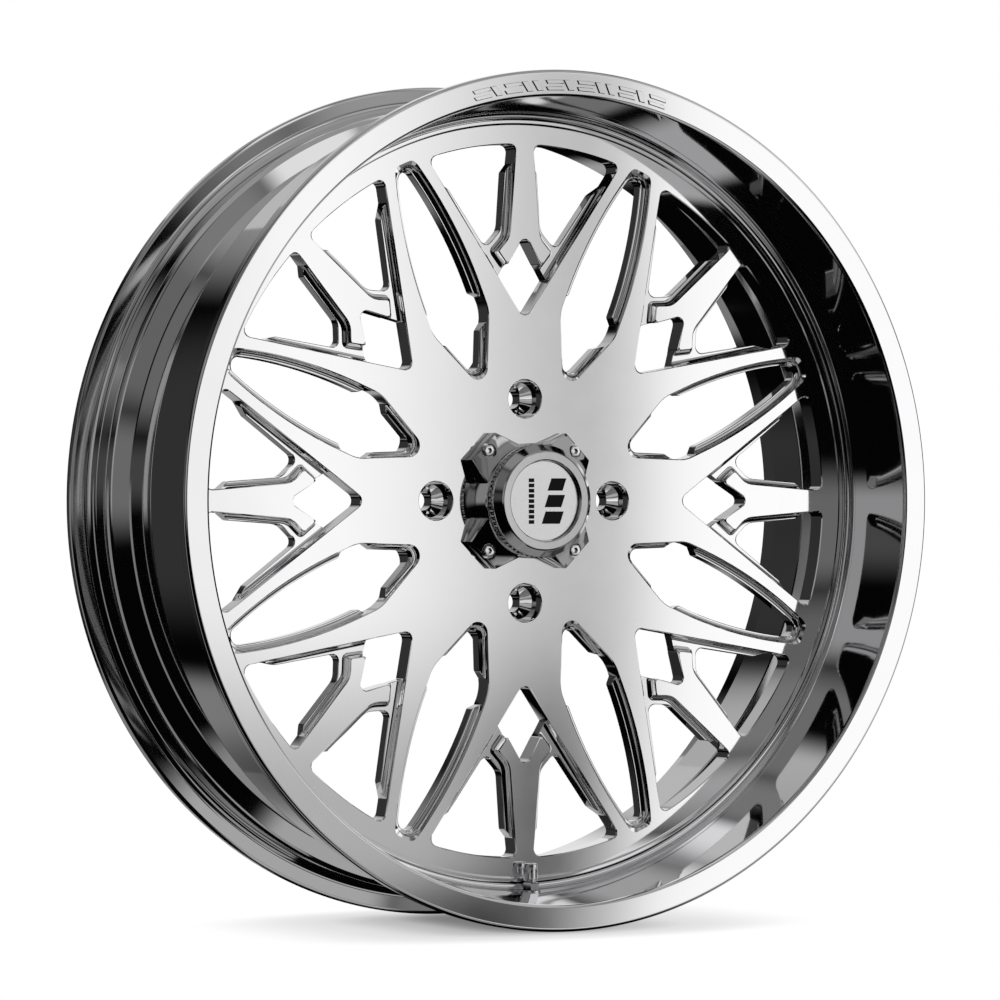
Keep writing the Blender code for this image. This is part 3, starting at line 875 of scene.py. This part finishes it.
def make_retaining_ring(look):
    low = FACE + 19.0
    high = FACE + 23.4
    inner = 38.3
    chamfer = 0.3
    points = []
    count = KNURL_TEETH * 4
    for step in range(count):
        angle = math.tau * step / count
        outer = 43.4 if step % 4 < 2 else 42.4
        profile = [(inner, low), (outer - chamfer, low), (outer, low + chamfer)]
        profile += [(outer, high - chamfer), (outer - chamfer, high), (inner, high)]
        points += [(*polar(radius, angle), height) for radius, height in profile]
    faces = turned_faces(profile, count)
    ring = make_object("knurled_ring", points, faces, look, angle=20.0)
    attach(ring, "centre_cap")
    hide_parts("cap_retaining_ring")


def make_bezel(look):
    low = FACE + 24.0
    profile = [
        (27.0, FACE + 19.5), (34.7, FACE + 19.5), (34.7, low), (42.6, low), (43.0, low + 0.4),
        (43.0, FACE + 25.2), (42.8, FACE + 25.9), (38.1, FACE + 31.2), (37.4, FACE + 31.8),
        (36.8, FACE + 32.0), (31.6, FACE + 32.0), (31.0, FACE + 31.6), (30.8, FACE + 31.0),
        (30.8, FACE + 26.5), (27.0, FACE + 26.5),
    ]
    bezel = turned("cap_bezel_ring", braced(profile), look, CAP_STEPS)
    keep_flat(bezel)
    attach(bezel, "centre_cap")
    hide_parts("cap_bezel")


def badge_bar(left, right, low, high, slant, base):
    outline = [(left, low), (right, low), (right + slant, high), (left + slant, high)]
    return prism_shape(outline, base, base + BAR_HEIGHT)


def make_badge(looks):
    low = FACE + 26.8
    high = low + 1.7
    profile = [(0.0, low), (30.4, low), (30.4, high - 0.5), (29.9, high), (0.0, high)]
    badge = turned("badge_disc", profile, looks["badge"], CAP_STEPS)
    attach(badge, "centre_cap")
    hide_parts("cap_badge")
    base = high - 0.02
    lowest = -17.5
    shapes = []
    for index in range(3):
        bottom = lowest + 12.6 * index
        shapes.append(badge_bar(-2.0 + 2.6 * index, 14.0 + 1.2 * index, bottom, bottom + 9.4, 3.4, base))
    for index in range(9):
        bottom = lowest + 3.95 * index
        shapes.append(badge_bar(-13.4, -8.6, bottom, bottom + 2.9, 0.0, base))
    mark = make_object("badge_mark", *joined(shapes), looks["enamel"], smooth=False)
    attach(mark, "centre_cap")


def make_cap_screws(look):
    seat = FACE + 7.3
    top = seat + 4.3
    tip = FACE - 12.2
    for index, spot in enumerate(cap_spots()):
        profile = [(0.0, tip), (2.4, tip), (3.0, FACE - 11.6), (3.0, seat), (4.5, seat)]
        profile += [(4.5, top - 0.6), (4.3, top - 0.2), (3.9, top), (0.0, top)]
        shape = turned_shape(profile, 40, spot)
        screw = make_object(f"cap_screw_head_{index + 1}", *shape, look)
        socket = [(spot[0] + x, spot[1] + y) for x, y in arc(0.0, 0.0, 2.4, 0.0, 300.0, 5)]
        shape = prism_shape(socket, top - 2.2, top + 2.0)
        tool = make_object(f"socket_{index}", *shape, look, smooth=False)
        booleaned(screw, tool, "DIFFERENCE")
        applied(screw, [tool])
        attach(screw, "centre_cap")
        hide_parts(f"cap_screw_{index + 1}")


# The valve

def threaded(low, high, outer, root, pitch):
    """An outline of thread crests and roots between two heights, running upwards."""
    run = []
    count = int((high - low) / pitch)
    for index in range(count):
        base = low + index * pitch
        run += [(root, base), (outer, base + pitch * 0.35), (outer, base + pitch * 0.65)]
    return run + [(root, high)]


def make_valve(look):
    profile = [(2.3, -309.5), (7.5, -309.5), (8.0, -308.0), (7.8, -307.3), (3.9, -307.0), (3.9, -298.2)]
    profile += threaded(-298.2, -280.8, 3.9, 3.45, 0.8)
    profile += [(3.2, -280.0), (2.3, -280.0)]
    stem = turned("valve_tube", profile, look, VALVE_STEPS, valve_to_world)
    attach(stem, "rim")
    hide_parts("valve_stem")
    low = -296.6
    high = -291.1
    hexagon = prism_shape(arc(0.0, 0.0, 6.9, 0.0, 300.0, 5), low, high, 0.5)
    nut = make_object("valve_hex_nut", *hexagon, look, place=valve_to_world)
    hole = turned_shape([(0.0, low - 2.0), (4.2, low - 2.0), (4.2, high + 2.0), (0.0, high + 2.0)], 32)
    tool = make_object("nut_hole", *hole, look, place=valve_to_world)
    booleaned(nut, tool, "DIFFERENCE")
    applied(nut, [tool])
    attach(nut, "rim")
    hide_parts("valve_nut")
    washer = [(4.3, -298.1), (7.3, -298.1), (7.5, -297.9), (7.5, -297.1), (7.3, -296.9), (4.3, -296.9)]
    ring = turned("valve_seat_washer", washer, look, VALVE_STEPS, valve_to_world)
    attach(ring, "rim")
    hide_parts("valve_washer")
    make_valve_cap(look)


def make_valve_cap(look):
    """The dust cap: knurled round its skirt, with a plain domed end."""
    outline = [(4.2, -288.5), (4.7, -288.5), (5.0, -288.1), (5.0, -281.0), (4.6, -280.6), (4.6, -280.0)]
    outline += [(4.9, -279.6), (4.9, -277.5), (4.5, -276.8), (3.8, -276.5), (0.0, -276.5), (0.0, -278.3)]
    outline += [(4.2, -278.3)]
    knurled = (2, 3)
    groove = 0.35
    points = []
    count = 96
    for step in range(count):
        angle = math.tau * step / count
        for index, (crest, height) in enumerate(outline):
            radius = crest - groove if index in knurled and step % 4 >= 2 else crest
            points.append((*polar(radius, angle), height))
    faces = turned_faces(outline, count)
    cap = make_object("valve_dust_cover", points, faces, look, place=valve_to_world)
    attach(cap, "valve_dust_cap")
    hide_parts("valve_cap")


# Materials

def node(tree, kind, values=None, **settings):
    """A new node with its settings, then its unlinked inputs' values."""
    made = tree.nodes.new(kind)
    for name, value in settings.items():
        setattr(made, name, value)
    for name, value in (values or {}).items():
        made.inputs[name].default_value = value
    return made


def metal(name, colour, roughness, grain, scale, bump=0.0, metallic=1.0):
    """A surface whose roughness and tone vary with a fine noise in object space."""
    made = bpy.data.materials.new(name)
    made.use_nodes = True
    tree = made.node_tree
    link = tree.links.new
    shader = tree.nodes["Principled BSDF"]
    shader.inputs["Metallic"].default_value = metallic
    place = node(tree, "ShaderNodeTexCoord")
    noise = node(tree, "ShaderNodeTexNoise", {"Scale": scale, "Detail": 3.0})
    link(place.outputs["Object"], noise.inputs["Vector"])
    limits = {"To Min": max(roughness - grain, 0.0), "To Max": roughness + grain}
    rough = node(tree, "ShaderNodeMapRange", limits)
    link(noise.outputs["Fac"], rough.inputs["Value"])
    link(rough.outputs["Result"], shader.inputs["Roughness"])
    darker = [channel * 0.96 for channel in colour]
    tone = node(tree, "ShaderNodeMix", {"A": (*darker, 1.0), "B": (*colour, 1.0)}, data_type="RGBA")
    link(noise.outputs["Fac"], tone.inputs["Factor"])
    link(tone.outputs["Result"], shader.inputs["Base Color"])
    if bump > 0.0:
        relief = node(tree, "ShaderNodeBump", {"Strength": bump, "Distance": 0.0002})
        link(noise.outputs["Fac"], relief.inputs["Height"])
        link(relief.outputs["Normal"], shader.inputs["Normal"])
    return made


def make_looks():
    looks = {
        "centre": metal("polished_aluminium_centre", (0.93, 0.93, 0.94), 0.045, 0.01, 40.0),
        "barrel": metal("polished_aluminium_barrel", (0.92, 0.92, 0.93), 0.05, 0.012, 30.0),
        "weld": metal("weld_bead", (0.62, 0.62, 0.63), 0.34, 0.08, 400.0, 0.3),
        "cap": metal("cap_chrome", (0.72, 0.72, 0.73), 0.06, 0.015, 200.0),
        "badge": metal("badge_face", (0.80, 0.80, 0.81), 0.24, 0.06, 900.0, 0.1),
        "enamel": metal("black_enamel", (0.012, 0.012, 0.012), 0.35, 0.05, 600.0, 0.0, 0.0),
        "screw": metal("screw_steel", (0.80, 0.80, 0.81), 0.16, 0.04, 500.0),
        "valve": metal("valve_nickel", (0.74, 0.74, 0.75), 0.07, 0.02, 600.0),
        "brass": metal("core_brass", (0.78, 0.62, 0.30), 0.25, 0.06, 900.0),
        "spring": metal("spring_steel", (0.60, 0.60, 0.62), 0.25, 0.06, 900.0),
        "rubber": metal("black_rubber", (0.03, 0.03, 0.03), 0.70, 0.08, 500.0, 0.2, 0.0),
    }
    enamel = looks["enamel"].node_tree.nodes["Principled BSDF"]
    enamel.inputs["Specular IOR Level"].default_value = 0.1
    return looks


KEPT_LOOKS = {
    "cap_o_ring": "rubber",
    "valve_grommet": "rubber",
    "valve_core_body": "brass",
    "valve_core_pin": "brass",
    "valve_core_spring": "spring",
    "valve_core_seal": "rubber",
    "valve_cap_seal": "rubber",
}


def dress_kept_nodes(frame, looks):
    for name, look in KEPT_LOOKS.items():
        kept = frame["nodes"][name]
        kept.data.materials.clear()
        kept.data.materials.append(looks[look])


# Studio

class Maths:
    """Short ways to chain Math nodes in one tree."""

    def __init__(self, tree):
        self.tree = tree

    def run(self, operation, first, second=0.0):
        made = node(self.tree, "ShaderNodeMath", operation=operation)
        for socket, value in zip(made.inputs, (first, second)):
            if isinstance(value, (int, float)):
                socket.default_value = value
            else:
                self.tree.links.new(value, socket)
        return made.outputs[0]

    def step(self, value, start, end):
        """Smoothly from 0 at start to 1 at end."""
        low, high = (1.0, 0.0) if start > end else (0.0, 1.0)
        limits = {"From Min": min(start, end), "From Max": max(start, end), "To Min": low, "To Max": high}
        made = node(self.tree, "ShaderNodeMapRange", limits, interpolation_type="SMOOTHSTEP")
        self.tree.links.new(value, made.inputs["Value"])
        return made.outputs["Result"]

    def ramp(self, share, stops):
        """A grey ColorRamp through (azimuth, brightness) stops, from RAMP_START to RAMP_END."""
        made = node(self.tree, "ShaderNodeValToRGB")
        elements = made.color_ramp.elements
        while len(elements) < len(stops):
            elements.new(0.5)
        for element, (azimuth, brightness) in zip(elements, stops):
            element.position = (azimuth - RAMP_START) / (RAMP_END - RAMP_START)
            element.color = (brightness, brightness, brightness, 1.0)
        self.tree.links.new(share, made.inputs["Fac"])
        return made.outputs["Color"]

    def band(self, value, low, high, soft):
        """1 between low and high, with soft edges, and 0 outside."""
        rise = self.step(value, low - soft, low + soft)
        fall = self.step(value, high + soft, high - soft)
        return self.run("MULTIPLY", rise, fall)

    def handover(self, value, fade, below, above):
        """Smoothly from below to above while the value crosses the fade."""
        start, end = fade
        upper = self.run("MULTIPLY", above, self.step(value, start, end))
        lower = self.run("MULTIPLY", below, self.step(value, end, start))
        return self.run("ADD", upper, lower)

    def patch(self, azimuth, height, light):
        """One soft-edged rectangle of light in the sky."""
        low, high, bottom, top, soft, strength = light
        across = self.band(azimuth, low, high, soft)
        upright = self.band(height, bottom, top, soft)
        return self.run("MULTIPLY", self.run("MULTIPLY", across, upright), strength)


# Each light: azimuth range, elevation range and edge softness in degrees, then strength.
# Azimuth runs from the wheel's front (-Y) towards +X. FACE_LIGHT is the panel that the flat
# faces mirror, and its brightness follows the stops below.
FACE_LIGHT = (8.0, 60.0, -7.0, 7.5, 1.5, 1.07)
LIGHTS = (
    (12.0, 27.5, -24.0, -7.0, 1.5, 0.40), (27.5, 60.0, -14.5, -7.0, 2.0, 0.75),
    (27.5, 50.0, -26.0, -14.0, 2.0, 0.17), (14.0, 50.0, 7.0, 17.0, 2.0, 0.75),
    (38.0, 60.0, 10.0, 20.0, 2.0, 0.95), (-12.0, 4.0, 8.0, 48.0, 5.0, 0.20),
    (4.0, 20.0, 20.0, 38.0, 5.0, 0.45), (4.0, 22.0, 38.0, 48.0, 3.0, 0.80),
    (20.0, 34.0, 20.0, 50.0, 5.0, 0.38), (34.0, 100.0, 14.0, 52.0, 6.0, 0.42),
    (-200.0, 200.0, 52.0, 95.0, 6.0, 0.30), (-100.0, -50.0, 18.0, 50.0, 6.0, 0.15),
    (-60.0, -30.0, -3.0, 28.0, 3.0, 0.30), (-36.0, -12.0, 28.0, 46.0, 4.0, 0.17),
    (-30.0, -12.0, -3.0, 10.0, 3.0, 0.15), (-24.0, -8.0, 12.0, 34.0, 3.0, 0.13),
    (4.0, 33.0, -48.0, -32.0, 3.0, 0.38), (-60.0, 4.0, -90.0, -53.0, 4.0, 0.27),
    (-116.0, -92.0, -58.0, 4.0, 4.0, 0.20), (-144.0, -60.0, 0.0, 12.0, 4.0, 0.06),
    (-162.0, -144.0, -14.0, 24.0, 5.0, 0.03), (62.0, 112.0, -40.0, -8.0, 6.0, 0.40),
    (104.0, 132.0, -8.0, 40.0, 5.0, 0.9), (108.0, 145.0, -32.0, -8.0, 4.0, 0.5),
    (138.0, 162.0, 2.0, 60.0, 6.0, 0.8), (162.0, 200.0, 21.0, 50.0, 5.0, 0.50),
    (-200.0, -158.0, 27.0, 46.0, 4.0, 0.42), (158.0, 200.0, -27.0, -20.0, 2.0, 0.35),
    (-200.0, -164.0, -27.0, -20.0, 2.0, 0.20),
)
DARK = 0.0012
WHITE = (1.0, 1.0, 1.0, 1.0)

# What the flat faces mirror, as (azimuth, brightness) stops: level, then further down, and
# last what the bottom of the lip mirrors
FACE_STOPS = (
    (27.0, 0.88), (27.6, 0.97), (28.2, 0.97), (28.7, 0.91), (29.2, 0.83), (29.7, 0.72),
    (30.1, 0.62), (30.6, 0.52), (31.0, 0.48), (31.35, 0.56), (31.7, 0.75), (32.0, 0.94),
    (32.4, 1.0),
)
LOW_FACE_STOPS = (
    (27.0, 0.46), (28.0, 0.43), (29.1, 0.43), (29.5, 0.38), (30.0, 0.22), (30.4, 0.09),
    (30.8, 0.13), (31.1, 0.33), (31.45, 0.62), (31.8, 0.85), (32.2, 1.0),
)
LIP_STOPS = (
    (27.8, 0.34), (28.6, 0.22), (29.0, 0.13), (29.4, 0.03), (30.2, 0.03), (30.6, 0.15),
    (31.0, 0.42), (31.4, 0.60), (31.8, 1.0),
)
RAMP_START = 27.0
RAMP_END = 33.0
LOW_FADE = (-3.3, -0.9)  # elevations over which the low stops give way to the level ones
LIP_FADE = (-4.6, -4.1)  # and the lip's to the faces'

# Shadow spots on the floor: half width and half depth in metres, and darkness
SHADOWS = ((0.24, 0.17, 0.30), (0.13, 0.125, 0.38), (0.07, 0.108, 0.55))
FLOOR_HALF = 30.0
FLOOR_GAP = 0.0002


def make_world(scene):
    world = bpy.data.worlds.new("studio")
    scene.world = world
    world.use_nodes = True
    tree = world.node_tree
    tree.nodes.clear()
    maths = Maths(tree)
    place = node(tree, "ShaderNodeTexCoord")
    split = node(tree, "ShaderNodeSeparateXYZ")
    tree.links.new(place.outputs["Generated"], split.inputs["Vector"])
    x, y, z = split.outputs
    degrees = 180.0 / math.pi
    forward = maths.run("MULTIPLY", y, -1.0)
    azimuth = maths.run("MULTIPLY", maths.run("ARCTAN2", x, forward), degrees)
    height = maths.run("MULTIPLY", maths.run("ARCSINE", z), degrees)
    share = maths.run("DIVIDE", maths.run("SUBTRACT", azimuth, RAMP_START), RAMP_END - RAMP_START)
    level = maths.ramp(share, FACE_STOPS)
    faces = maths.handover(height, LOW_FADE, maths.ramp(share, LOW_FACE_STOPS), level)
    shaped = maths.handover(height, LIP_FADE, maths.ramp(share, LIP_STOPS), faces)
    total = maths.run("MULTIPLY", maths.patch(azimuth, height, FACE_LIGHT), shaped)
    for light in LIGHTS:
        total = maths.run("MAXIMUM", total, maths.patch(azimuth, height, light))
    total = maths.run("ADD", total, DARK)
    path = node(tree, "ShaderNodeLightPath")
    mix = node(tree, "ShaderNodeMix", {"B": 1.0}, data_type="FLOAT")
    tree.links.new(path.outputs["Is Camera Ray"], mix.inputs["Factor"])
    tree.links.new(total, mix.inputs["A"])
    background = node(tree, "ShaderNodeBackground", {"Color": WHITE})
    out = node(tree, "ShaderNodeOutputWorld")
    tree.links.new(mix.outputs["Result"], background.inputs["Strength"])
    tree.links.new(background.outputs["Background"], out.inputs["Surface"])


def make_floor():
    """A white floor, unseen in reflections, with a soft shadow painted under the wheel."""
    mesh = bpy.data.meshes.new("floor")
    size = FLOOR_HALF
    level = -RIM_RADIUS * MM - FLOOR_GAP
    corners = [(-size, -size, level), (size, -size, level), (size, size, level), (-size, size, level)]
    mesh.from_pydata(corners, [], [(0, 1, 2, 3)])
    floor = bpy.data.objects.new("floor", mesh)
    bpy.context.scene.collection.objects.link(floor)
    look = bpy.data.materials.new("floor_white")
    look.use_nodes = True
    tree = look.node_tree
    tree.nodes.clear()
    maths = Maths(tree)
    place = node(tree, "ShaderNodeTexCoord")
    split = node(tree, "ShaderNodeSeparateXYZ")
    tree.links.new(place.outputs["Object"], split.inputs["Vector"])
    x, y, _ = split.outputs
    shade = None
    for half_x, half_y, depth in SHADOWS:
        across = maths.run("DIVIDE", x, half_x)
        along = maths.run("DIVIDE", y, half_y)
        squares = maths.run("ADD", maths.run("POWER", across, 2.0), maths.run("POWER", along, 4.0))
        spot = maths.run("MULTIPLY", maths.step(squares, 1.0, 0.0), depth)
        light = maths.run("SUBTRACT", 1.0, spot)
        shade = light if shade is None else maths.run("MULTIPLY", shade, light)
    glow = node(tree, "ShaderNodeEmission", {"Color": WHITE})
    tree.links.new(shade, glow.inputs["Strength"])
    out = node(tree, "ShaderNodeOutputMaterial")
    tree.links.new(glow.outputs["Emission"], out.inputs["Surface"])
    mesh.materials.append(look)
    floor.visible_glossy = False
    floor.visible_diffuse = False


def make_camera(scene):
    data = bpy.data.cameras.new("camera")
    data.lens = LENS
    data.sensor_width = SENSOR
    camera = bpy.data.objects.new("camera", data)
    camera.location = CAMERA_SPOT
    camera.rotation_euler = (math.radians(90.0), 0.0, math.radians(CAMERA_TURN))
    scene.collection.objects.link(camera)
    scene.camera = camera


def main():
    scene = bpy.context.scene
    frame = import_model()
    looks = make_looks()
    make_wheel_centre(looks["centre"])
    make_barrel(looks["barrel"])
    make_weld(looks["weld"])
    make_cap_body(looks["cap"])
    make_retaining_ring(looks["cap"])
    make_bezel(looks["cap"])
    make_badge(looks)
    make_cap_screws(looks["screw"])
    make_valve(looks["valve"])
    dress_kept_nodes(frame, looks)
    make_world(scene)
    make_floor()
    make_camera(scene)
    scene.view_settings.view_transform = "Standard"


main()
